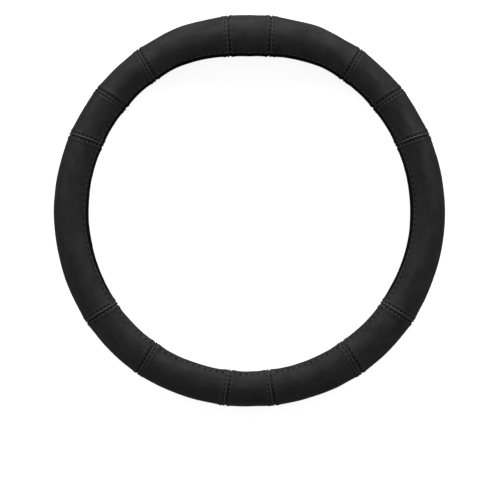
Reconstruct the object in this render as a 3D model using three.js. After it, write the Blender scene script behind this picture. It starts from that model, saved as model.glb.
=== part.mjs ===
// Stitched leather steering wheel cover, lying on its rear face, in millimetres.
// The ring's axis is +Z, the floor is z = 0, and +Y points to the cover's twelve o'clock.
// Fourteen leather panels are sewn end to end round a rubber liner with a C-shaped section.
// The slot of the C faces the ring's centre, where the wheel's rim and spokes go in, and the
// long edges of each panel are turned round the liner's two lips and stitched there.
import * as THREE from "three";
import { mergeVertices } from "three/addons/utils/BufferGeometryUtils.js";

// Ring and section
const RIM_RADIUS = 190.5; // ring's axis to the outside of the leather beside a seam
const SECTION_WIDTH = 37; // of the whole oval, measured across the ring
const SECTION_DEPTH = 46; // of the whole oval, measured along the ring's axis
const SLOT_HALF_ANGLE = 38; // degrees round the oval from the slot's middle to each lip
const FLOOR_PRESS = 1.6; // how far the soft section is flattened where it lies on its rear face

// Layers
const LEATHER = 1.2;
const LINER = 2.2;
const CLEARANCE = 0.3; // between pieces that touch
const HEM_LENGTH = 7; // of the leather turned in round each lip

// Panels: spans in degrees from twelve o'clock to six o'clock, the same on both sides.
// The bottom panel takes what is left of the circle.
const TOP_SPAN = 13.6;
const SIDE_SPANS = {
  crown: 28.6,
  shoulder: 15.5,
  upper: 15.3,
  side: 58.2,
  lower: 21.2,
  base: 27.5,
};

// Seams: each end of a panel is turned under, which makes a flat-topped ridge beside the seam
const RIDGE_HEIGHT = 1;
const RIDGE_WIDTH = 1.4; // of one side's flat top
const RIDGE_SLOPE = 0.5;
const WAIST_DEPTH = 0.3; // how far a panel draws in between its seams
const WAIST_RUN = 14; // from a seam to where the panel is fully drawn in

// Stitching
const THREAD = 0.6; // diameter
const ROW_OFFSET = 0.5; // from a ridge's foot to the near side of its row of stitches
const ROW_MARGIN = 2.6; // from the lip's stitches to where the seam's rows begin

// Set of the soft ring, as it has relaxed
const SAG = 6.2; // how far the lips hang in towards the centre at twelve o'clock
const SAG_REACH = 27; // degrees to each side of twelve o'clock
const SLUMP = 1; // how far the lips hang in at six o'clock
const SLUMP_REACH = 45;
const SWELL = 2; // how far the lower quarters stand out
const SWELL_CENTRE = 137; // degrees from twelve o'clock
const SWELL_REACH = 46;
const DRAW = 0.9; // how far the upper quarters pull in
const DRAW_CENTRE = 64;
const DRAW_REACH = 34;
const CREASE = 1.2; // of the soft crease half way along each crown panel
const CREASE_REACH = 12;
const ROLL = 5; // degrees that the lower third is rolled, front lip inwards
const ROLL_START = 117; // degrees from twelve o'clock
const ROLL_FULL = 131;

// Facets
const SECTION_STEPS = 10; // round the oval, between the two hems
const STATION_PITCH = 48; // most that two stations along a panel lie apart
const THREAD_SIDES = 3;

const DEG = Math.PI / 180;
const HALF_WIDTH = SECTION_WIDTH / 2;
const HALF_DEPTH = SECTION_DEPTH / 2;
const CENTRELINE = RIM_RADIUS - HALF_WIDTH;
const CENTRE_HEIGHT = RIDGE_HEIGHT + HALF_DEPTH - FLOOR_PRESS;
const FOLD_RADIUS = LEATHER + CLEARANCE + LINER / 2; // of the leather's turn round a lip
const RIDGE_FOOT = RIDGE_WIDTH + RIDGE_SLOPE;
const ROW_DISTANCE = RIDGE_FOOT + ROW_OFFSET + THREAD / 2; // from the seam to its stitches
const THREAD_RISE = CLEARANCE + THREAD / 2; // of the thread's middle above the leather
const SECTION_CENTRE = new THREE.Vector2();

const LEATHER_BLACK = new THREE.MeshStandardMaterial({ color: 0x202021, roughness: 0.62 });
const RUBBER_BLACK = new THREE.MeshStandardMaterial({ color: 0x131313, roughness: 0.85 });
const THREAD_BLACK = new THREE.MeshStandardMaterial({ color: 0x0d0d0e, roughness: 0.5 });

// Angles round the ring run clockwise from twelve o'clock, seen from the front.
// Seams come out as one list of angles, and panels as pairs of them.
function layOutPanels() {
  const spans = Object.values(SIDE_SPANS);
  const names = Object.keys(SIDE_SPANS);
  const edges = [TOP_SPAN / 2];
  for (const span of spans) {
    edges.push(edges[edges.length - 1] + span);
  }
  const panels = [{ name: "panel_top", start: -edges[0], end: edges[0] }];
  names.forEach((name, i) => {
    panels.push({ name: `panel_${name}_right`, start: edges[i], end: edges[i + 1] });
    panels.push({ name: `panel_${name}_left`, start: -edges[i + 1], end: -edges[i] });
  });
  const last = edges[edges.length - 1];
  panels.push({ name: "panel_bottom", start: last, end: 360 - last });
  const seams = [...edges, ...edges.map((edge) => 360 - edge).reverse()];
  return { panels, seams };
}

const { panels: PANELS, seams: SEAMS } = layOutPanels();
const CREASES = [
  (TOP_SPAN + SIDE_SPANS.crown) / 2,
  360 - (TOP_SPAN + SIDE_SPANS.crown) / 2,
];

// Degrees between two angles on the ring, the short way round
function degreesApart(a, b) {
  const turn = (((a - b) % 360) + 360) % 360;
  return Math.min(turn, 360 - turn);
}

// Length along the centreline from an angle to the nearest seam
function seamDistance(angle) {
  const apart = Math.min(...SEAMS.map((seam) => degreesApart(angle, seam)));
  return apart * DEG * CENTRELINE;
}

// The same angles, in order once round the ring
function aroundRing(angles) {
  return angles.map((angle) => (angle + 360) % 360).sort((a, b) => a - b);
}

// A hump that falls from 1 at no distance to 0 at its reach, round at both ends
function hump(distance, reach) {
  return distance < reach ? (1 + Math.cos((Math.PI * distance) / reach)) / 2 : 0;
}

// Share of the full ridge at a distance from the seam
function ridgeShare(distance) {
  return THREE.MathUtils.clamp((RIDGE_FOOT - distance) / RIDGE_SLOPE, 0, 1);
}

// A point of the section's oval, as (out from the centreline, towards the front).
// The angle runs from the slot's middle towards the front, and inset is measured inwards.
function ovalPoint(angle, inset = 0) {
  const across = -HALF_WIDTH * Math.cos(angle);
  const along = HALF_DEPTH * Math.sin(angle);
  const normal = ovalNormal(angle);
  return new THREE.Vector2(across, along).addScaledVector(normal, -inset);
}

function ovalNormal(angle) {
  const across = -HALF_DEPTH * Math.cos(angle);
  const along = HALF_WIDTH * Math.sin(angle);
  return new THREE.Vector2(across, along).normalize();
}

// How far a point of the section lies inside the oval
function insetOf(x, y) {
  const q = Math.hypot(x / HALF_WIDTH, y / HALF_DEPTH);
  const slope = Math.hypot(x / HALF_WIDTH ** 2, y / HALF_DEPTH ** 2);
  return ((1 - q) * q) / slope;
}

// Angles round the oval where every layer has a corner, from the front lip to the rear one
function sectionAngles() {
  const lip = SLOT_HALF_ANGLE * DEG;
  const perRadian = ovalPoint(lip).distanceTo(ovalPoint(lip + DEG)) / DEG;
  const hemEnd = lip + HEM_LENGTH / perRadian;
  const angles = [lip];
  for (let i = 0; i <= SECTION_STEPS; i += 1) {
    angles.push(THREE.MathUtils.lerp(hemEnd, 2 * Math.PI - hemEnd, i / SECTION_STEPS));
  }
  angles.push(2 * Math.PI - lip);
  return angles;
}

const SECTION_ANGLES = sectionAngles();
const LIPS = [SECTION_ANGLES[0], SECTION_ANGLES[SECTION_ANGLES.length - 1]];
const HEM_ENDS = [SECTION_ANGLES[1], SECTION_ANGLES[SECTION_ANGLES.length - 2]];

// The outermost point of a half turn of this radius round a lip
function foldPoint(end, radius) {
  const lip = LIPS[end];
  const towardsSlot = ovalPoint(lip).sub(ovalPoint(HEM_ENDS[end])).normalize();
  return ovalPoint(lip, FOLD_RADIUS).addScaledVector(towardsSlot, radius);
}

// One panel's section: a C of leather, turned in round both lips
function leatherOutline() {
  const outside = SECTION_ANGLES.map((angle) => ovalPoint(angle));
  const inside = SECTION_ANGLES.map((angle) => ovalPoint(angle, LEATHER));
  const hem = (end) => [
    ovalPoint(LIPS[end], 2 * FOLD_RADIUS),
    ovalPoint(HEM_ENDS[end], 2 * FOLD_RADIUS),
    ovalPoint(HEM_ENDS[end], 2 * FOLD_RADIUS - LEATHER),
    ovalPoint(LIPS[end], 2 * FOLD_RADIUS - LEATHER),
  ];
  return [
    ...outside,
    foldPoint(1, FOLD_RADIUS),
    ...hem(1),
    foldPoint(1, FOLD_RADIUS - LEATHER),
    ...inside.reverse(),
    foldPoint(0, FOLD_RADIUS - LEATHER),
    ...hem(0).reverse(),
    foldPoint(0, FOLD_RADIUS),
  ];
}

// The rubber ring's section: a plain C that fills the leather, up to the turn of each hem
function linerOutline() {
  const outside = LEATHER + CLEARANCE;
  return [
    ...SECTION_ANGLES.map((angle) => ovalPoint(angle, outside)),
    ...SECTION_ANGLES.map((angle) => ovalPoint(angle, outside + LINER)).reverse(),
  ];
}

// How the soft ring departs from a true one at an angle.
// outward moves the section's outside, inward moves its lips, and roll turns it whole.
function setOfRing(angle) {
  const fromTop = degreesApart(angle, 0);
  const creased = CREASES.map((crease) => hump(degreesApart(angle, crease), CREASE_REACH));
  const swollen = hump(Math.abs(fromTop - SWELL_CENTRE), SWELL_REACH);
  const drawnIn = hump(Math.abs(fromTop - DRAW_CENTRE), DRAW_REACH);
  const sagging = Math.max(0, 1 - fromTop / SAG_REACH);
  const slumped = hump(180 - fromTop, SLUMP_REACH);
  return {
    outward: CREASE * Math.max(...creased) + SWELL * swollen - DRAW * drawnIn,
    inward: SAG * sagging + SLUMP * slumped,
    roll: ROLL * DEG * THREE.MathUtils.smoothstep(fromTop, ROLL_START, ROLL_FULL),
    waist: WAIST_DEPTH * (1 - hump(seamDistance(angle), WAIST_RUN)),
  };
}

// Moves a point of the section to its place on the soft ring.
// rise is how far a ridge or a thread lifts it off the oval.
function place(x, y, angle, inset = insetOf(x, y), rise = 0) {
  const set = setOfRing(angle);
  const reach = Math.min(Math.hypot(x / HALF_WIDTH, y / HALF_DEPTH), 1);
  const lifted = rise - set.waist * reach;
  const normal = new THREE.Vector2(x / HALF_WIDTH ** 2, y / HALF_DEPTH ** 2).normalize();
  const point = new THREE.Vector2(x + normal.x * lifted, y + normal.y * (y > 0 ? lifted : rise));
  point.rotateAround(SECTION_CENTRE, set.roll);
  const lipShare = THREE.MathUtils.clamp((HALF_WIDTH - x) / SECTION_WIDTH, 0, 1);
  const radius = CENTRELINE + point.x + (1 - lipShare) * set.outward - lipShare * set.inward;
  const floor = RIDGE_HEIGHT + inset - rise;
  return new THREE.Vector3(
    radius * Math.sin(angle * DEG),
    radius * Math.cos(angle * DEG),
    Math.max(CENTRE_HEIGHT + point.y, floor),
  );
}

// Angles along a panel where its section is set out
function panelStations(panel) {
  const degrees = (length) => length / CENTRELINE / DEG;
  const ends = [CLEARANCE / 2, RIDGE_WIDTH, RIDGE_FOOT].map(degrees);
  const start = panel.start + ends[2];
  const end = panel.end - ends[2];
  const steps = Math.ceil(((end - start) * DEG * CENTRELINE) / STATION_PITCH);
  const between = [];
  for (let i = 1; i < steps; i += 1) {
    between.push(THREE.MathUtils.lerp(start, end, i / steps));
  }
  return [
    ...ends.map((distance) => panel.start + distance),
    ...between,
    ...ends.map((distance) => panel.end - distance).reverse(),
  ];
}

// Sweeps a closed outline through stations and gives each corner its place by the function.
// A ring that closes on itself has no end faces.
function sweep(outline, stations, placeAt, closed = false) {
  const shape = new THREE.Shape(outline);
  const steps = closed ? stations.length : stations.length - 1;
  const geometry = new THREE.ExtrudeGeometry(shape, { depth: steps, steps, bevelEnabled: false });
  geometry.deleteAttribute("normal");
  geometry.deleteAttribute("uv");
  const position = geometry.getAttribute("position");
  for (let i = 0; i < position.count; i += 1) {
    const station = Math.round(position.getZ(i)) % stations.length;
    const placed = placeAt(position.getX(i), position.getY(i), stations[station]);
    position.setXYZ(i, placed.x, placed.y, placed.z);
  }
  const swept = closed ? withoutEnds(geometry) : geometry;
  return facingOut(mergeVertices(swept, 1e-4));
}

// ExtrudeGeometry lists the two end faces first and its sides last
function withoutEnds(geometry) {
  const sides = geometry.groups.find((group) => group.materialIndex === 1);
  const position = geometry.getAttribute("position");
  const corners = position.array.slice(3 * sides.start, 3 * (sides.start + sides.count));
  return new THREE.BufferGeometry().setAttribute("position", new THREE.BufferAttribute(corners, 3));
}

// Turns every face round if the closed surface encloses less than nothing
function facingOut(geometry) {
  const position = geometry.getAttribute("position");
  const index = geometry.index.array;
  const corner = (i) => new THREE.Vector3().fromBufferAttribute(position, index[i]);
  let volume = 0;
  for (let i = 0; i < index.length; i += 3) {
    volume += corner(i).dot(corner(i + 1).cross(corner(i + 2)));
  }
  if (volume < 0) {
    for (let i = 0; i < index.length; i += 3) {
      [index[i + 1], index[i + 2]] = [index[i + 2], index[i + 1]];
    }
  }
  geometry.computeVertexNormals();
  return geometry;
}

function meshOf(name, geometry, material) {
  const mesh = new THREE.Mesh(geometry, material);
  mesh.name = name;
  return mesh;
}

// The ridge lifts only the outside of the leather
function placeLeather(x, y, angle) {
  const inset = insetOf(x, y);
  const outside = THREE.MathUtils.clamp(1 - inset / LEATHER, 0, 1);
  return place(x, y, angle, inset, RIDGE_HEIGHT * ridgeShare(seamDistance(angle)) * outside);
}

function leatherPanel(panel) {
  const geometry = sweep(leatherOutline(), panelStations(panel), placeLeather);
  return meshOf(panel.name, geometry, LEATHER_BLACK);
}

// The liner is set out at the ridges' feet and between them, so that its facets lie parallel
// to the leather's
function linerStations() {
  return aroundRing(PANELS.flatMap((panel) => panelStations(panel).slice(2, -2)));
}

function rubberLiner() {
  const placeLiner = (x, y, angle) => place(x, y, angle);
  const geometry = sweep(linerOutline(), linerStations(), placeLiner, true);
  return meshOf("rubber_liner", geometry, RUBBER_BLACK);
}

// The thread's own section, round a middle that lies on the leather
function threadSection() {
  const corners = [];
  for (let i = 0; i < THREAD_SIDES; i += 1) {
    const turn = (2 * Math.PI * i) / THREAD_SIDES;
    corners.push(new THREE.Vector2(Math.cos(turn), Math.sin(turn)).multiplyScalar(THREAD / 2));
  }
  return corners;
}

// Corners of the leather's outside that a seam's row of stitches passes over.
// The row stops short of the stitches that run along each lip.
function rowCorners() {
  const outside = SECTION_ANGLES.map((angle) => ovalPoint(angle));
  const last = outside.length - 1;
  const shortOf = (lip, next) => lip.clone().add(next.clone().sub(lip).setLength(ROW_MARGIN));
  return [
    shortOf(outside[0], outside[1]),
    ...outside.slice(1, last),
    shortOf(outside[last], outside[last - 1]),
  ];
}

// One row of stitches beside a seam, over the leather from lip to lip
function seamThread(name, angle) {
  const corners = rowCorners();
  const stations = corners.map((corner, i) => i);
  const placeThread = (across, out, station) => {
    const corner = corners[station];
    const sideways = (across / CENTRELINE) / DEG;
    return place(corner.x, corner.y, angle + sideways, 0, THREAD_RISE + out);
  };
  return meshOf(name, sweep(threadSection(), stations, placeThread), THREAD_BLACK);
}

// The stitches along a lip, round the whole ring and over each seam's ridge
function lipThread(name, end) {
  const lip = ovalPoint(LIPS[end]);
  const along = ovalPoint(LIPS[end]).sub(ovalPoint(HEM_ENDS[end])).normalize();
  const stations = aroundRing(PANELS.flatMap((panel) => panelStations(panel).slice(1, -1)));
  const placeThread = (across, out, angle) => {
    const corner = lip.clone().addScaledVector(along, across);
    const ridge = RIDGE_HEIGHT * ridgeShare(seamDistance(angle));
    return place(corner.x, corner.y, angle, 0, ridge + THREAD_RISE + out);
  };
  return meshOf(name, sweep(threadSection(), stations, placeThread, true), THREAD_BLACK);
}

function seamThreads() {
  const aside = ROW_DISTANCE / CENTRELINE / DEG;
  return SEAMS.flatMap((seam, i) => {
    const number = String(i + 1).padStart(2, "0");
    return [
      seamThread(`seam_thread_${number}_before`, seam - aside),
      seamThread(`seam_thread_${number}_after`, seam + aside),
    ];
  });
}

const cover = new THREE.Group();
cover.add(rubberLiner());
cover.add(...PANELS.map(leatherPanel));
cover.add(...seamThreads());
cover.add(lipThread("lip_thread_front", 0));
cover.add(lipThread("lip_thread_rear", 1));

export default cover;
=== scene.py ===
# A stitched leather steering wheel cover, lying on its rear face, as finished.
# Each leather panel is cut as a flat blank, gets its seam and lip rows, and is wrapped round the
# ring with its edges turned under. The rubber liner's section is turned round the ring, and every
# stitch is laid in its row.
import math

import bmesh
import bpy
import numpy as np
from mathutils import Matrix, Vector, noise


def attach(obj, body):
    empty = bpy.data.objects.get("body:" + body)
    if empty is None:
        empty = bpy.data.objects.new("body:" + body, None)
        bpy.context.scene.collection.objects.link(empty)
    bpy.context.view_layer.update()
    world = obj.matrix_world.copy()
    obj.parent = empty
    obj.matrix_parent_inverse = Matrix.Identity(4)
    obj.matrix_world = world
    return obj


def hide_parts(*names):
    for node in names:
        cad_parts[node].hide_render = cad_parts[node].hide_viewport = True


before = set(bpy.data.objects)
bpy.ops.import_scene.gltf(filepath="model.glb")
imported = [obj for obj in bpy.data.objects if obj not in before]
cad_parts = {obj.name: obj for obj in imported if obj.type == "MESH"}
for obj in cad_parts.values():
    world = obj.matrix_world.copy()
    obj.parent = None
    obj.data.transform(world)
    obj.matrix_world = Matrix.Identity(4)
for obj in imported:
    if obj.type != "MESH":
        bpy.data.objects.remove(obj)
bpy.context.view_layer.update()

MM = 0.001

# Ring and section, the same as the solids that these pieces dress
RIM_RADIUS = 190.5 * MM
SECTION_WIDTH = 37 * MM
SECTION_DEPTH = 46 * MM
LIP = math.radians(38)  # round the oval from the slot's middle to each lip
CENTRE_HEIGHT = 22.4 * MM  # of the section's centre above what the cover lies on
LEATHER = 1.2 * MM
LINER = 2.2 * MM
CLEARANCE = 0.3 * MM
HEM_LENGTH = 7 * MM
HALF_WIDTH = SECTION_WIDTH / 2
HALF_DEPTH = SECTION_DEPTH / 2
CENTRELINE = RIM_RADIUS - HALF_WIDTH
FOLD_RADIUS = LEATHER + CLEARANCE + LINER / 2

# Panels in degrees from twelve o'clock to six o'clock, the same on both sides.
# A seam's slant is how much further from twelve o'clock it lies at its inner end.
SIDE_PANELS = ["crown", "shoulder", "upper", "side", "lower", "base"]
SEAM_ANGLES = [7.0, 35.2, 50.9, 66.6, 124.8, 145.1, 173.0]
SEAM_SLANTS = [0.9, 1.0, -1.3, -0.9, 0.8, -0.8, 0.5]

# Seams are lapped: one leather end is turned under and stands proud as a narrow bead, the other
# runs on plain below it, and a row of stitches holds each. A bead's side is 1 away from twelve
# o'clock and -1 towards it.
BEAD_SIDES_RIGHT = [1, 1, 1, -1, -1, 1, 1]
BEAD_SIDES_LEFT = [1, 1, 1, -1, -1, 1, -1]
SKIVED = 0.6 * MM  # thickness of the leather, which is thinned so that it turns under neatly
TURN_RADIUS = 0.65 * MM  # of the leather's outside where it turns under
TURNED_UNDER = 0.45 * MM  # straight part beyond the turn
BEAD = 0.95 * MM  # height above the panel
BEAD_CREST = 0.9 * MM  # from the seam to where the bead starts to fall
BEAD_FOOT = 2.1 * MM
BEAD_ROW = 2.8 * MM  # from the seam to the stitches
BEAD_PRESSED = 0.5 * MM  # how much lower it is at the rim and at the lips
RIM_REACH = 16 * MM
LIP_REACH = 8 * MM
PLAIN_DIP = 0.8 * MM  # of the plain end below the panel
PLAIN_ROW = 1.8 * MM
PUFF = 0.45 * MM  # height of the leather beyond the stitches, where it is padded by its turned end
PUFF_CREST = 1.3 * MM  # from the stitches
PUFF_FOOT = 4.5 * MM
WAIST_DEPTH = 0.4 * MM  # how far a panel draws in between its seams
WAIST_RUN = 16 * MM
SLACK = 0.35 * MM  # height of the soft swells in a panel, between its seams
SLACK_SIZE = 26 * MM
SLACK_OFFSET = 3  # of the noise it is taken from
WRINKLE = 0.12 * MM
WRINKLE_SIZE = 9 * MM
WRINKLE_OFFSET = 7
TIGHT_TO = 4 * MM  # from the seam, where neither shows
LOOSE_FROM = 14 * MM

# Lips: one row of stitches holds the leather round the liner's edge
LIP_ROW = 0.8 * MM  # from the lip's fold to its stitches
LIP_ROW_LOW = 4.2 * MM  # the same in the lower third, where the leather has crept round the lip
LOW_START = 108
LOW_FULL = 128
LIP_STITCHES = 172  # once round the ring

# Thread, and how each stitch pulls the leather down, so that it bulges between the stitches
THREAD_RADIUS = 0.55 * MM
STITCH_PITCH = 4.3 * MM
STITCH_LENGTH = 3.2 * MM
ROW_GAP = 0.6 * STITCH_PITCH  # from a lip's row to the first stitch of a seam's
STITCH_BOW = 0.5 * MM  # how far a stitch's ends dip below its middle
STITCH_RISE = 0.2 * MM  # of its middle above the leather under it
STITCH_TAPER = 0.35  # how much thinner its ends are
DIMPLE = 0.55 * MM
DIMPLE_WIDTH = 0.75 * MM
BULGE = 0.15 * MM
DIMPLES_FROM = 0.4 * MM  # from the seam, so that the turned-under leather has none
DIMPLES_FULL = 1 * MM

# Painted highlight, a paler colour on crests and between stitches: how wide it is and how much it
# shows, from 0 to 1
BEAD_HIGHLIGHT_WIDTH = 1.1 * MM
EDGE_HIGHLIGHT_WIDTH = 1.4 * MM
PUFF_HIGHLIGHT = 0.2
BULGE_HIGHLIGHT = 0.8

# Set of the soft ring, as it has relaxed
SAG = 7 * MM  # of the lips at twelve o'clock
SAG_REACH = 27
SAG_PEAK = 2  # how round it is in its middle, in square degrees
SAG_END = 0.003  # how round it is where it ends
SLUMP = 1 * MM  # of the lips at six o'clock
SLUMP_REACH = 45
BELLY = 1.8 * MM  # of the lips in the right lower quarter
BELLY_CENTRE = 140
BELLY_REACH = 45
SWELL = 1.9 * MM  # of the lower quarters
SWELL_CENTRE = 139
SWELL_REACH = 44
DRAW = -0.9 * MM  # of the upper quarters, which pull in
DRAW_CENTRE = 64
DRAW_REACH = 34
CREASE = 0.9 * MM  # half way along each crown panel
CREASE_CENTRE = 21.5
CREASE_REACH = 9
ROLL = math.radians(5)  # of the lower third, front lip inwards
ROLL_START = 117
ROLL_FULL = 131
GAPE = 2 * MM  # of the front lip at the sides, outwards
GAPE_CENTRE = 97
GAPE_REACH = 32

# Mesh
HEM_POINTS = 12
FOLD_POINTS = 24
OUTSIDE_POINTS = 161
LINER_POINTS = 49
LINER_STEPS = 240
STITCH_SIDES = 7
STITCH_CUTS = 5
ROW_STEP = 1.5 * MM  # along the ring
COLUMN_STEP = 1.2 * MM  # round the section
EDGE_ZONE = 7.5 * MM  # where a blank's rows are closer
EDGE_CUTS = 3
LIP_CUTS = 1
FLOOR_BLEND = 0.5 * MM
HIDE_MAP = "place on the hide"
# share of the painted highlight at each point
PAINTED_HIGHLIGHT_MAP = "painted highlight on crests"
# share of the painted shade on the hems in the slot
PAINTED_SHADE_MAP = "painted shade in the slot"


def hump(distance, reach):
    """1 at no distance, 0 at the reach, and round at both ends."""
    turn = np.pi * np.minimum(distance, reach) / reach
    return np.where(distance < reach, (1 + np.cos(turn)) / 2, 0)


def smooth(start, end, value):
    share = np.clip((value - start) / (end - start), 0, 1)
    return share * share * (3 - 2 * share)


def from_top(angle):
    """Degrees from twelve o'clock, the short way round."""
    turn = np.mod(angle, 360)
    return np.minimum(turn, 360 - turn)


# Section


def oval(angle, inset=0.0):
    """Points of the section's oval, as out from the centreline and towards the front."""
    points = np.stack([-HALF_WIDTH * np.cos(angle), HALF_DEPTH * np.sin(angle)], -1)
    return points - inset * oval_normal(angle)


def oval_normal(angle):
    normal = np.stack([-HALF_DEPTH * np.cos(angle), HALF_WIDTH * np.sin(angle)], -1)
    return normal / np.linalg.norm(normal, axis=-1, keepdims=True)


def leather_path():
    """The leather's outside from the front hem's end, round both lips, to the rear hem's end.
    Gives its points, its normals and the length along it."""
    lip = np.array(LIP)
    step = 0.01
    per_radian = np.linalg.norm(oval(lip + step) - oval(lip - step)) / (2 * step)
    hem_end = LIP + HEM_LENGTH / per_radian
    hem_angles = np.linspace(hem_end, LIP, HEM_POINTS, endpoint=False)
    hem = oval(hem_angles, 2 * FOLD_RADIUS)
    across = oval_normal(lip)
    towards_slot = np.array([-across[1], across[0]])
    if towards_slot[1] > 0:
        towards_slot = -towards_slot
    turn = np.linspace(0, np.pi, FOLD_POINTS, endpoint=False)[:, None]
    fold_normals = -across * np.cos(turn) + towards_slot * np.sin(turn)
    fold = oval(lip, FOLD_RADIUS) + FOLD_RADIUS * fold_normals
    outside = np.linspace(LIP, 2 * np.pi - LIP, OUTSIDE_POINTS)
    front = np.concatenate([hem, fold])
    front_normals = np.concatenate([-oval_normal(hem_angles), fold_normals])
    mirror = np.array([1, -1])
    points = np.concatenate([front, oval(outside), front[::-1] * mirror])
    normals = np.concatenate([front_normals, oval_normal(outside), front_normals[::-1] * mirror])
    steps = np.linalg.norm(np.diff(points, axis=0), axis=1)
    return points, normals, np.concatenate([[0], np.cumsum(steps)])


PATH_POINTS, PATH_NORMALS, PATH_LENGTHS = leather_path()
PATH_LENGTH = PATH_LENGTHS[-1]
FOLD_END = PATH_LENGTHS[HEM_POINTS + FOLD_POINTS]  # where the front fold meets the oval
LIP_EDGE = FOLD_END - 0.8 * MM  # the middle of what shows of the fold
# painted shade on the leather in the slot: full inwards of the first length, none beyond the second
SLOT_SHADE_FULL = FOLD_END - 3 * MM  # on the side of the fold that faces the slot
SLOT_SHADE_NONE = FOLD_END - 1.5 * MM


def on_path(length):
    """The path's point and normal at a length along it."""
    point = [np.interp(length, PATH_LENGTHS, PATH_POINTS[:, i]) for i in (0, 1)]
    normal = [np.interp(length, PATH_LENGTHS, PATH_NORMALS[:, i]) for i in (0, 1)]
    return point, normal


def lip_row_at(angle):
    """Length along the path to the front lip's stitches. The rear lip's are as far from its end."""
    low = smooth(LOW_START, LOW_FULL, from_top(angle))
    return FOLD_END + LIP_ROW + (LIP_ROW_LOW - LIP_ROW) * low


# Placing


def set_of_ring(angle):
    """How the soft ring departs from a true one: outwards, inwards at the lips, rolled, and open
    at the front lip."""
    top = from_top(angle)
    outward = (
        SWELL * hump(np.abs(top - SWELL_CENTRE), SWELL_REACH)
        + DRAW * hump(np.abs(top - DRAW_CENTRE), DRAW_REACH)
        + CREASE * hump(np.abs(top - CREASE_CENTRE), CREASE_REACH)
    )
    sagging = 1 - np.sqrt(top**2 + SAG_PEAK) / SAG_REACH
    inward = (
        SAG * (sagging + np.sqrt(sagging**2 + SAG_END)) / 2
        + SLUMP * hump(180 - top, SLUMP_REACH)
        + BELLY * hump(np.abs(np.mod(angle, 360) - BELLY_CENTRE), BELLY_REACH)
    )
    roll = ROLL * smooth(ROLL_START, ROLL_FULL, top)
    gape = GAPE * hump(np.abs(top - GAPE_CENTRE), GAPE_REACH)
    return outward, inward, roll, gape


def place(x, y, nx, ny, rise, angle, seam_distance):
    """Puts points of the section, lifted along their normals, in their place on the ring."""
    outward, inward, roll, gape = set_of_ring(angle)
    waist = WAIST_DEPTH * (1 - hump(seam_distance, WAIST_RUN))
    reach = np.hypot(x / HALF_WIDTH, y / HALF_DEPTH)
    gradient = np.hypot(x / HALF_WIDTH**2, y / HALF_DEPTH**2)
    drawn = waist * np.minimum(reach, 1) / gradient
    inset = (1 - reach) * reach / gradient
    lip_share = np.clip((HALF_WIDTH - x) / SECTION_WIDTH, 0, 1)
    px = x + nx * rise - drawn * x / HALF_WIDTH**2
    py = y + ny * rise - np.where(y > 0, drawn, 0) * y / HALF_DEPTH**2
    turned_x = px * np.cos(roll) - py * np.sin(roll)
    turned_y = px * np.sin(roll) + py * np.cos(roll)
    inward = inward - gape * np.clip(y / HALF_DEPTH, 0, 1)
    radius = CENTRELINE + turned_x + (1 - lip_share) * outward - lip_share * inward
    floor = BEAD + inset - rise
    above = CENTRE_HEIGHT + turned_y - floor
    z = floor + (above + np.sqrt(above**2 + FLOOR_BLEND**2)) / 2
    turn = np.radians(angle)
    return np.stack([radius * np.sin(turn), radius * np.cos(turn), z], -1)


def seam_angle(seam, x):
    """A seam leans, so its angle changes across the section."""
    angle, slant = seam[:2]
    return angle - slant * x / SECTION_WIDTH


def seam_height(distance, beaded):
    """How far the leather's outside stands above the panel, beside a seam."""
    if beaded:
        row = BEAD_ROW
        edge = BEAD * (1 - smooth(BEAD_CREST, BEAD_FOOT, distance))
    else:
        row = PLAIN_ROW
        edge = -PLAIN_DIP * (1 - smooth(0, row, distance))
    beyond = distance - row
    puff = PUFF * smooth(0, PUFF_CREST, beyond) * (1 - smooth(PUFF_CREST, PUFF_FOOT, beyond))
    return edge + puff


def seam_profile(along, beaded):
    """Distance from the seam and height of the leather's outside, at a length along the leather
    from TURN_RADIUS off the seam. Below 0 a beaded end turns under, and a plain end runs on."""
    if not beaded:
        return TURN_RADIUS + along, seam_height(TURN_RADIUS + along, False)
    turn = np.clip(-along / TURN_RADIUS, 0, np.pi)
    under = np.maximum(-along - np.pi * TURN_RADIUS, 0)
    distance = TURN_RADIUS + np.maximum(along, 0) - TURN_RADIUS * np.sin(turn) + under
    height = seam_height(np.maximum(distance, TURN_RADIUS), True)
    return distance, np.where(along > 0, height, BEAD - TURN_RADIUS * (1 - np.cos(turn)))


def along_row(distance, pitches):
    """How much a point is between a row's stitches, and how much under one, at a distance from
    the row and a number of pitches from the middle of a stitch."""
    near = np.exp(-((distance / DIMPLE_WIDTH) ** 2))
    under = (1 + np.cos(2 * np.pi * pitches)) / 2
    return near * (1 - under), near * under


def lip_pitches(angle):
    """Pitches of the lips' stitches, whose middles are half a pitch off twelve o'clock."""
    return angle * LIP_STITCHES / 360 - 0.5


# Panels


def seams():
    """The seams clockwise from twelve o'clock: angle, slant, and whether the bead is on the
    clockwise side."""
    right = zip(SEAM_ANGLES, SEAM_SLANTS, BEAD_SIDES_RIGHT)
    left = zip(SEAM_ANGLES, SEAM_SLANTS, BEAD_SIDES_LEFT)
    clockwise = [(angle, slant, side > 0) for angle, slant, side in right]
    return clockwise + [(360 - angle, -slant, side < 0) for angle, slant, side in left][::-1]


def beside_seam(angle, x):
    """Distance to the nearest seam, and how far the leather stands above the panel there."""
    apart = np.array([np.mod(angle - seam_angle(seam, x) + 180, 360) - 180 for seam in seams()])
    nearest = np.argmin(np.abs(apart), axis=0)
    apart = np.take_along_axis(apart, nearest[None], 0)[0]
    distance = np.radians(np.abs(apart)) * (CENTRELINE + x)
    bead_after = np.array([seam[2] for seam in seams()])[nearest]
    beaded = (apart > 0) == bead_after
    return distance, np.where(beaded, seam_height(distance, True), seam_height(distance, False))


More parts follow.
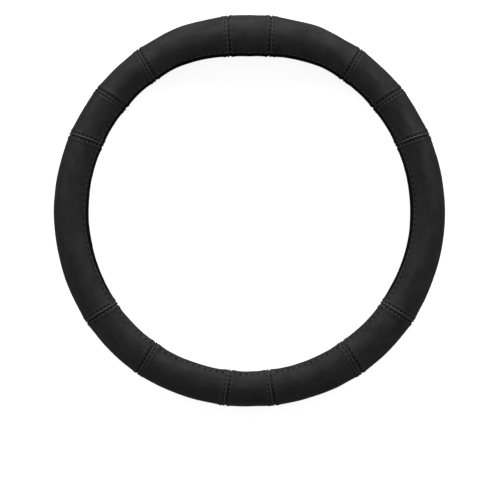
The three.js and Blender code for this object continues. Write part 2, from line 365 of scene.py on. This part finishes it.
def panel_list():
    """Each panel's name, and the seams that it starts and ends at, clockwise."""
    right = [f"panel_{part}_right" for part in SIDE_PANELS]
    left = [f"panel_{part}_left" for part in reversed(SIDE_PANELS)]
    ends = seams()
    angle, slant, beaded = ends[-1]
    starts = [(angle - 360, slant, beaded), *ends[:-1]]
    return list(zip(["panel_top", *right, "panel_bottom", *left], starts, ends))


def deselect_all():
    bpy.ops.object.select_all(action="DESELECT")


def flat_blank(name, length, width):
    """A flat piece of leather from x = 0 to the length and y = 0 to the width, with closer rows
    near its seams and closer columns near its lips."""
    deselect_all()
    rows = round(length / ROW_STEP)
    columns = round(width / COLUMN_STEP)
    bpy.ops.mesh.primitive_grid_add(x_subdivisions=rows, y_subdivisions=columns, size=1)
    blank = bpy.context.object
    blank.name = blank.data.name = name
    bpy.ops.object.mode_set(mode="EDIT")
    bpy.ops.mesh.select_all(action="SELECT")
    bpy.ops.transform.translate(value=(0.5, 0.5, 0))
    bpy.ops.transform.resize(value=(length, width, 1), center_override=(0, 0, 0))
    bpy.ops.mesh.select_mode(type="EDGE")
    seam_zone = EDGE_ZONE + TURNED_UNDER + math.pi * TURN_RADIUS
    lip_zone = FOLD_END + LIP_ROW_LOW + 2 * DIMPLE_WIDTH
    closer = ((0, length, seam_zone, EDGE_CUTS), (1, width, lip_zone, LIP_CUTS))
    for axis, size, zone, cuts in closer:
        bpy.ops.mesh.select_all(action="DESELECT")
        shape = bmesh.from_edit_mesh(blank.data)
        for edge in shape.edges:
            start, end = (corner.co for corner in edge.verts)
            middle = (start[axis] + end[axis]) / 2
            runs_along = abs(start[axis] - end[axis]) > abs(start[1 - axis] - end[1 - axis])
            if runs_along and min(middle, size - middle) < zone:
                edge.select_set(True)
        bmesh.update_edit_mesh(blank.data)
        bpy.ops.mesh.subdivide(number_cuts=cuts)
    bpy.ops.object.mode_set(mode="OBJECT")
    return blank


def corners_of(piece):
    corners = np.empty(3 * len(piece.data.vertices))
    piece.data.vertices.foreach_get("co", corners)
    return corners.reshape(-1, 3)


def move_corners(piece, corners):
    piece.data.vertices.foreach_set("co", np.ascontiguousarray(corners, dtype=np.float32).ravel())
    piece.data.update()


def wrinkles(points, size, offset):
    """Smooth noise between about -1 and 1 at each point."""
    shift = Vector((offset, 2 * offset, 0))
    return np.array([noise.noise(Vector(point) / size + shift) for point in points])


def leather_panel(name, start, end):
    """One panel, wrapped round the section from hem to hem and along the ring from seam to seam."""
    span = math.radians(end[0] - start[0]) * CENTRELINE - 2 * TURN_RADIUS
    turned = math.pi * TURN_RADIUS + TURNED_UNDER
    piece = flat_blank(name.replace("panel", "leather"), span + 2 * turned, PATH_LENGTH)
    blank = corners_of(piece)
    along, length = blank[:, 0] - turned, blank[:, 1]
    map_leather(piece, blank + (math.radians(start[0]) * CENTRELINE, 0, 0))
    (x, y), (nx, ny) = on_path(length)

    start_beaded, end_beaded = start[2], not end[2]
    start_distance, start_rise = seam_profile(np.minimum(along, EDGE_ZONE), start_beaded)
    end_distance, end_rise = seam_profile(np.minimum(span - along, EDGE_ZONE), end_beaded)
    radius = CENTRELINE + x
    start_angle = seam_angle(start, x) + np.degrees(start_distance / radius)
    end_angle = seam_angle(end, x) - np.degrees(end_distance / radius)
    share = np.clip((along - EDGE_ZONE) / (span - 2 * EDGE_ZONE), 0, 1)
    angle = start_angle + share * (end_angle - start_angle)

    near_start = along < span / 2
    distance = np.where(near_start, along, span - along) + TURN_RADIUS
    beaded = np.where(near_start, start_beaded, end_beaded)
    rise = np.where(near_start, start_rise, end_rise)
    on_outside = smooth(DIMPLES_FROM, DIMPLES_FULL, distance)
    seam_row_at = np.where(beaded, BEAD_ROW, PLAIN_ROW)
    # painted highlights: a paler colour on the bead's crest, the puff's crest and the front lip's
    # fold
    painted_highlights = [
        beaded * hump(np.abs(distance - BEAD_CREST), BEAD_HIGHLIGHT_WIDTH),
        PUFF_HIGHLIGHT * hump(np.abs(distance - seam_row_at - PUFF_CREST), EDGE_HIGHLIGHT_WIDTH),
        hump(np.abs(length - LIP_EDGE), EDGE_HIGHLIGHT_WIDTH),
    ]
    from_lip = np.minimum(length, PATH_LENGTH - length)
    at_rim = hump(np.abs(length - PATH_LENGTH / 2), RIM_REACH)
    at_lip = 1 - smooth(FOLD_END, FOLD_END + LIP_REACH, from_lip)
    on_bead = beaded * (1 - smooth(BEAD_CREST, BEAD_FOOT, distance))
    rise = rise - BEAD_PRESSED * on_bead * np.maximum(at_rim, at_lip)
    rows = [
        (distance - seam_row_at, length / STITCH_PITCH),
        (from_lip - lip_row_at(angle), lip_pitches(angle)),
    ]
    for from_row, pitches in rows:
        between, under = along_row(from_row, pitches)
        rise = rise + on_outside * (BULGE * between - DIMPLE * under)
        # painted highlight also on the bulges between stitches
        painted_highlights.append(BULGE_HIGHLIGHT * on_outside * between)
    # keeps the painted highlight's share, which makes the leather paler and smoother
    keep_shares(piece, PAINTED_HIGHLIGHT_MAP, np.max(painted_highlights, axis=0))
    # keeps the painted shade's share, a darker and rougher colour on the hems in the slot
    keep_shares(piece, PAINTED_SHADE_MAP, 1 - smooth(SLOT_SHADE_FULL, SLOT_SHADE_NONE, from_lip))
    flat_place = place(x, y, nx, ny, 0 * rise, angle, distance)
    loose = smooth(TIGHT_TO, LOOSE_FROM, distance)
    rise = rise + SLACK * loose * wrinkles(flat_place, SLACK_SIZE, SLACK_OFFSET)
    rise = rise + WRINKLE * loose * wrinkles(flat_place, WRINKLE_SIZE, WRINKLE_OFFSET)
    move_corners(piece, place(x, y, nx, ny, rise, angle, distance))
    finish_leather(piece)
    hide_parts(name)
    return piece


def keep_shares(piece, name, shares):
    """Keeps a share from 0 to 1 at each point, for the finish."""
    kept = piece.data.attributes.new(name, "FLOAT", "POINT")
    kept.data.foreach_set("value", shares.astype(np.float32))


def map_leather(piece, flat_corners):
    """Keeps each point's place on the flat hide, in metres, so that the finish follows it."""
    corner_of_loop = np.empty(len(piece.data.loops), dtype=np.int32)
    piece.data.loops.foreach_get("vertex_index", corner_of_loop)
    layer = piece.data.uv_layers.active
    layer.name = HIDE_MAP
    layer.data.foreach_set("uv", flat_corners[corner_of_loop, :2].astype(np.float32).ravel())


def finish_leather(piece):
    """Gives the blank the leather's thickness, on its inner side."""
    deselect_all()
    piece.select_set(True)
    bpy.context.view_layer.objects.active = piece
    layer = piece.modifiers.new("leather thickness", "SOLIDIFY")
    layer.thickness = SKIVED
    layer.offset = -1
    bpy.ops.object.modifier_apply(modifier=layer.name)
    bpy.ops.object.shade_smooth()
    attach(piece, "root")


# Liner


def rubber_liner():
    """The moulded rubber ring. Its section is turned round the axis, then set as the ring is."""
    inner, outer = LEATHER + CLEARANCE + LINER, LEATHER + CLEARANCE
    angles = np.linspace(LIP, 2 * np.pi - LIP, LINER_POINTS)
    outline = np.concatenate([oval(angles, outer), oval(angles[::-1], inner)])
    deselect_all()
    bpy.ops.mesh.primitive_circle_add(vertices=len(outline), radius=HALF_WIDTH)
    piece = bpy.context.object
    piece.name = piece.data.name = "moulded_rubber_liner"
    section = np.stack([CENTRELINE + outline[:, 0], 0 * outline[:, 0], outline[:, 1]], -1)
    move_corners(piece, section)
    turning = piece.modifiers.new("turned round the ring", "SCREW")
    turning.steps = turning.render_steps = LINER_STEPS
    bpy.ops.object.modifier_apply(modifier=turning.name)
    bpy.ops.object.mode_set(mode="EDIT")
    bpy.ops.mesh.select_all(action="SELECT")
    bpy.ops.mesh.normals_make_consistent(inside=False)
    bpy.ops.object.mode_set(mode="OBJECT")
    turned = corners_of(piece)
    angle = np.mod(np.degrees(np.arctan2(turned[:, 0], turned[:, 1])), 360)
    x = np.hypot(turned[:, 0], turned[:, 1]) - CENTRELINE
    y = turned[:, 2]
    distance, _ = beside_seam(angle, x)
    move_corners(piece, place(x, y, 0 * x, 0 * x, 0 * x, angle, distance))
    bpy.ops.object.shade_smooth_by_angle(angle=math.radians(40))
    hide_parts("rubber_liner")
    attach(piece, "root")
    return piece


# Stitches


def single_stitch():
    """One stitch of thread along x, bowed up in its middle, its ends thinner and in the holes."""
    deselect_all()
    bpy.ops.mesh.primitive_cylinder_add(
        vertices=STITCH_SIDES,
        radius=THREAD_RADIUS,
        depth=STITCH_LENGTH,
        rotation=(0, math.pi / 2, 0),
    )
    stitch = bpy.context.object
    bpy.ops.object.transform_apply(location=True, rotation=True, scale=True)
    bpy.ops.object.mode_set(mode="EDIT")
    bpy.ops.mesh.select_mode(type="EDGE")
    bpy.ops.mesh.select_all(action="DESELECT")
    shape = bmesh.from_edit_mesh(stitch.data)
    for edge in shape.edges:
        edge.select_set(abs(edge.verts[0].co.x - edge.verts[1].co.x) > THREAD_RADIUS)
    bmesh.update_edit_mesh(stitch.data)
    bpy.ops.mesh.subdivide(number_cuts=STITCH_CUTS)
    bpy.ops.object.mode_set(mode="OBJECT")
    corners = corners_of(stitch)
    share = np.abs(corners[:, 0]) / (STITCH_LENGTH / 2)
    thickness = 1 - STITCH_TAPER * share**3
    corners[:, 1] *= thickness
    corners[:, 2] = corners[:, 2] * thickness + STITCH_RISE - STITCH_BOW * share**3
    faces = [tuple(face.vertices) for face in stitch.data.polygons]
    bpy.data.objects.remove(stitch)
    return corners, faces


STITCH_CORNERS, STITCH_FACES = single_stitch()


def stitch_row(name, node, starts, ends, above):
    """Lays one stitch from each start to its end. above are points over the starts, which give
    the way up."""
    middle = (starts + ends) / 2
    along = ends - starts
    along /= np.linalg.norm(along, axis=1, keepdims=True)
    up = above - starts
    up -= along * np.sum(up * along, axis=1, keepdims=True)
    up /= np.linalg.norm(up, axis=1, keepdims=True)
    side = np.cross(up, along)
    frames = np.stack([along, side, up], 1)
    corners = np.einsum("kc,ncd->nkd", STITCH_CORNERS, frames) + middle[:, None]
    faces = [
        tuple(corner + i * len(STITCH_CORNERS) for corner in face)
        for i in range(len(starts))
        for face in STITCH_FACES
    ]
    mesh = bpy.data.meshes.new(name)
    mesh.from_pydata(corners.reshape(-1, 3).tolist(), [], faces)
    mesh.polygons.foreach_set("use_smooth", [True] * len(faces))
    piece = bpy.data.objects.new(name, mesh)
    bpy.context.collection.objects.link(piece)
    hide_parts(node)
    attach(piece, "root")
    return piece


def seam_row(name, node, seam, side):
    """The stitches on one side of a seam, from the front lip's row to the rear lip's."""
    first = float(lip_row_at(seam[0])) + ROW_GAP
    last = PATH_LENGTH - first
    centres = np.arange(math.ceil(first / STITCH_PITCH), last / STITCH_PITCH) * STITCH_PITCH
    beaded = (side > 0) == seam[2]
    row = BEAD_ROW if beaded else PLAIN_ROW
    height = float(seam_height(row, beaded)) - DIMPLE

    def point(length, lift):
        (x, y), (nx, ny) = on_path(length)
        radius = CENTRELINE + x
        angle = seam_angle(seam, x) + side * np.degrees(row / radius)
        distance = np.full_like(length, row)
        return place(x, y, nx, ny, np.full_like(length, height + lift), angle, distance)

    starts = point(centres - STITCH_LENGTH / 2, 0)
    ends = point(centres + STITCH_LENGTH / 2, 0)
    above = point(centres - STITCH_LENGTH / 2, 1 * MM)
    return stitch_row(name, node, starts, ends, above)


def lip_row(name, node, rear):
    """The stitches along a lip, once round the ring between the seams' beads."""
    centres = (np.arange(LIP_STITCHES) + 0.5) * 360 / LIP_STITCHES
    clear_of_seams = beside_seam(centres, on_path(lip_row_at(centres))[0][0])[0] > BEAD_FOOT
    centres = centres[clear_of_seams]
    half = np.degrees(STITCH_LENGTH / 2 / CENTRELINE)

    def point(angle, lift):
        row = lip_row_at(angle)
        (x, y), (nx, ny) = on_path(PATH_LENGTH - row if rear else row)
        distance, height = beside_seam(angle, x)
        return place(x, y, nx, ny, height - DIMPLE + lift, angle, distance)

    starts, ends = point(centres - half, 0), point(centres + half, 0)
    return stitch_row(name, node, starts, ends, point(centres - half, 1 * MM))


# Materials


def srgb(hex_colour):
    """A material's colour from its sRGB hex value."""
    shares = [int(hex_colour[i : i + 2], 16) / 255 for i in (1, 3, 5)]
    linear = [c / 12.92 if c <= 0.04045 else ((c + 0.055) / 1.055) ** 2.4 for c in shares]
    return (*linear, 1.0)


def add_node(tree, kind, inputs, **settings):
    """Adds a node with its settings, and sets or links each of its inputs."""
    node = tree.nodes.new(kind)
    for setting, value in settings.items():
        setattr(node, setting, value)
    for socket, value in inputs.items():
        if isinstance(value, bpy.types.NodeSocket):
            tree.links.new(value, node.inputs[socket])
        else:
            node.inputs[socket].default_value = value
    return node


def new_material(name):
    material = bpy.data.materials.new(name)
    material.use_nodes = True
    tree = material.node_tree
    return material, tree, tree.nodes["Principled BSDF"]


def place_on_piece(tree):
    return add_node(tree, "ShaderNodeTexCoord", {}).outputs["Object"]


def mix_colours(tree, share, first, second):
    inputs = {"Factor": share, "A": first, "B": second}
    return add_node(tree, "ShaderNodeMix", inputs, data_type="RGBA").outputs["Result"]


def noise_at(tree, where, size, detail, roughness=0.5):
    """Noise between 0 and 1, whose largest patches have the size."""
    inputs = {"Vector": where, "Scale": 1 / size, "Detail": detail, "Roughness": roughness}
    return add_node(tree, "ShaderNodeTexNoise", inputs).outputs["Fac"]


def share_kept(tree, name):
    return add_node(tree, "ShaderNodeAttribute", {}, attribute_name=name).outputs["Fac"]


def add_times(tree, value, share, factor):
    """The value with the share times the factor added."""
    inputs = {0: share, 1: factor, 2: value}
    return add_node(tree, "ShaderNodeMath", inputs, operation="MULTIPLY_ADD").outputs["Value"]


def bumpy(tree, height, strength, depth, **more):
    """Relief in the finish: a height of 0 to 1 stands for the depth."""
    inputs = {"Height": height, "Strength": strength, "Distance": depth}
    return add_node(tree, "ShaderNodeBump", inputs, **more)


def nappa_leather():
    """Black nappa: chrome-tanned cowhide, drum-dyed and given a thin matt finish. It keeps a fine
    pebbled grain. Milling leaves soft streaks along each panel that are paler and smoother. A
    painted highlight makes the leather paler and smoother on the seams' crests, the front lip's
    fold and between stitches, and painted shade makes its hems in the slot darker and rougher."""
    material, tree, shader = new_material("nappa_leather_black")
    on_hide = add_node(tree, "ShaderNodeUVMap", {}, uv_map=HIDE_MAP).outputs["UV"]
    lengthened = {"Vector": on_hide, "Scale": (0.5, 1, 1)}
    along_panel = add_node(tree, "ShaderNodeMapping", lengthened).outputs["Vector"]
    streaks = noise_at(tree, along_panel, 11 * MM, detail=5.0, roughness=0.7)
    worn = {"Value": streaks, "From Min": 0.32, "From Max": 0.68}
    tint = add_node(tree, "ShaderNodeMapRange", worn)
    polish = add_node(tree, "ShaderNodeMapRange", {**worn, "To Min": 0.8, "To Max": 0.62})
    highlight_share, hem = share_kept(tree, PAINTED_HIGHLIGHT_MAP), share_kept(tree, PAINTED_SHADE_MAP)

    colour = mix_colours(tree, tint.outputs["Result"], srgb("#1e1e1e"), srgb("#2f2f2f"))
    # painted highlight: a paler colour where the highlight share is kept
    colour = mix_colours(tree, highlight_share, colour, srgb("#444444"))
    # painted shade: a darker colour on the hems in the slot
    colour = mix_colours(tree, hem, colour, srgb("#121212"))
    tree.links.new(colour, shader.inputs["Base Color"])
    roughness = add_times(tree, polish.outputs["Result"], highlight_share, -0.16)
    roughness = add_times(tree, roughness, hem, 0.3)
    tree.links.new(roughness, shader.inputs["Roughness"])

    milled = noise_at(tree, along_panel, 4.5 * MM, detail=3.0)
    creases = bumpy(tree, milled, 0.5, 0.5 * MM)
    # real pebbles are 0.5 to 0.8 mm across, drawn at 1.3 mm so that they show
    cells = {"Vector": on_hide, "Scale": 1 / (1.3 * MM)}
    pebbles = add_node(tree, "ShaderNodeTexVoronoi", cells, feature="SMOOTH_F1")
    grain = bumpy(tree, pebbles.outputs["Distance"], 0.6, 0.15 * MM, invert=True)
    tree.links.new(creases.outputs["Normal"], grain.inputs["Normal"])
    tree.links.new(grain.outputs["Normal"], shader.inputs["Normal"])
    shader.inputs["IOR"].default_value = 1.42
    return material


def bonded_thread():
    """Black bonded polyester thread: twisted filaments with a thin resin coat. It is dyed through,
    so it is darker than the leather."""
    material, tree, shader = new_material("bonded_polyester_thread_black")
    fibres = noise_at(tree, place_on_piece(tree), 0.3 * MM, detail=1.0)
    colour = mix_colours(tree, fibres, srgb("#040405"), srgb("#0c0c0d"))
    tree.links.new(colour, shader.inputs["Base Color"])
    twist = bumpy(tree, fibres, 0.4, 0.1 * MM)
    tree.links.new(twist.outputs["Normal"], shader.inputs["Normal"])
    shader.inputs["Roughness"].default_value = 0.7
    shader.inputs["IOR"].default_value = 1.35
    shader.inputs["Specular IOR Level"].default_value = 0.25
    return material


def moulded_rubber():
    """Black natural rubber, compression moulded in a spark-eroded tool: an even matt surface with
    a very fine texture."""
    material, tree, shader = new_material("moulded_rubber_black")
    where = place_on_piece(tree)
    bloom = noise_at(tree, where, 35 * MM, detail=2.0)
    colour = mix_colours(tree, bloom, srgb("#0d0d0d"), srgb("#161615"))
    tree.links.new(colour, shader.inputs["Base Color"])
    texture = noise_at(tree, where, 0.9 * MM, detail=2.0)
    eroded = bumpy(tree, texture, 0.3, 0.1 * MM)
    tree.links.new(eroded.outputs["Normal"], shader.inputs["Normal"])
    shader.inputs["Roughness"].default_value = 0.72
    return material


# Studio


def studio_camera():
    """Looks down at the cover from almost straight above, as in the photograph."""
    lens, distance, tilt = 118, 1592 * MM, math.radians(2)
    ring_centre = Vector((0.5 * MM, 0, 23 * MM))
    aim = ring_centre - Vector((0, 38.4 * MM, 0))
    data = bpy.data.cameras.new("camera")
    data.lens = lens
    data.sensor_width = 36
    camera = bpy.data.objects.new("camera", data)
    lower, higher = distance * math.sin(tilt), distance * math.cos(tilt)
    camera.location = ring_centre + Vector((0, -lower, higher))
    camera.rotation_euler = (aim - camera.location).to_track_quat("-Z", "Y").to_euler()
    bpy.context.collection.objects.link(camera)
    bpy.context.scene.camera = camera


def soft_light(name, location, size, power):
    data = bpy.data.lights.new(name, "AREA")
    data.shape = "RECTANGLE"
    data.size, data.size_y = size
    data.energy = power
    lamp = bpy.data.objects.new(name, data)
    lamp.location = location
    lamp.rotation_euler = (-Vector(location)).to_track_quat("-Z", "Y").to_euler()
    lamp.visible_camera = False
    bpy.context.collection.objects.link(lamp)


def studio_floor():
    """White paper, lit from behind so that it stays white, and kept out of the leather's
    reflections as dark flags beside a black object do."""
    deselect_all()
    bpy.ops.mesh.primitive_plane_add(size=12)
    floor = bpy.context.object
    floor.name = "floor"
    material, _, shader = new_material("white_paper_sweep")
    shader.inputs["Base Color"].default_value = srgb("#f2f2f2")
    shader.inputs["Roughness"].default_value = 0.9
    shader.inputs["Emission Color"].default_value = (1, 1, 1, 1)
    shader.inputs["Emission Strength"].default_value = 0.85
    floor.data.materials.append(material)
    floor.visible_diffuse = False
    floor.visible_glossy = False


def studio():
    studio_floor()
    world = bpy.data.worlds.new("studio")
    bpy.context.scene.world = world
    world.use_nodes = True
    world.node_tree.nodes["Background"].inputs["Color"].default_value = (1, 1, 1, 1)
    world.node_tree.nodes["Background"].inputs["Strength"].default_value = 0.15
    soft_light("key", (0, 2.3, 0.35), (1.8, 0.6), 23)
    soft_light("overhead", (0, 0.2, 3.0), (0.9, 0.9), 3)
    for word, side in (("left", -1), ("right", 1)):
        soft_light(f"back_{word}", (1.4 * side, 1.4, 1.2), (1.0, 1.0), 15)
        soft_light(f"front_{word}", (1.6 * side, -1.4, 0.3), (1.2, 0.5), 2.5)
    bpy.context.scene.view_settings.view_transform = "Standard"


studio_camera()

leather, rubber, thread = nappa_leather(), moulded_rubber(), bonded_thread()
for panel in panel_list():
    leather_panel(*panel).data.materials.append(leather)
rubber_liner().data.materials.append(rubber)
for number, seam in enumerate(seams(), 1):
    for word, side in (("before", -1), ("after", 1)):
        label = f"{number:02d}_{word}"
        row = seam_row(f"seam_stitches_{label}", f"seam_thread_{label}", seam, side)
        row.data.materials.append(thread)
lip_row("lip_stitches_front", "lip_thread_front", rear=False).data.materials.append(thread)
lip_row("lip_stitches_rear", "lip_thread_rear", rear=True).data.materials.append(thread)
studio()
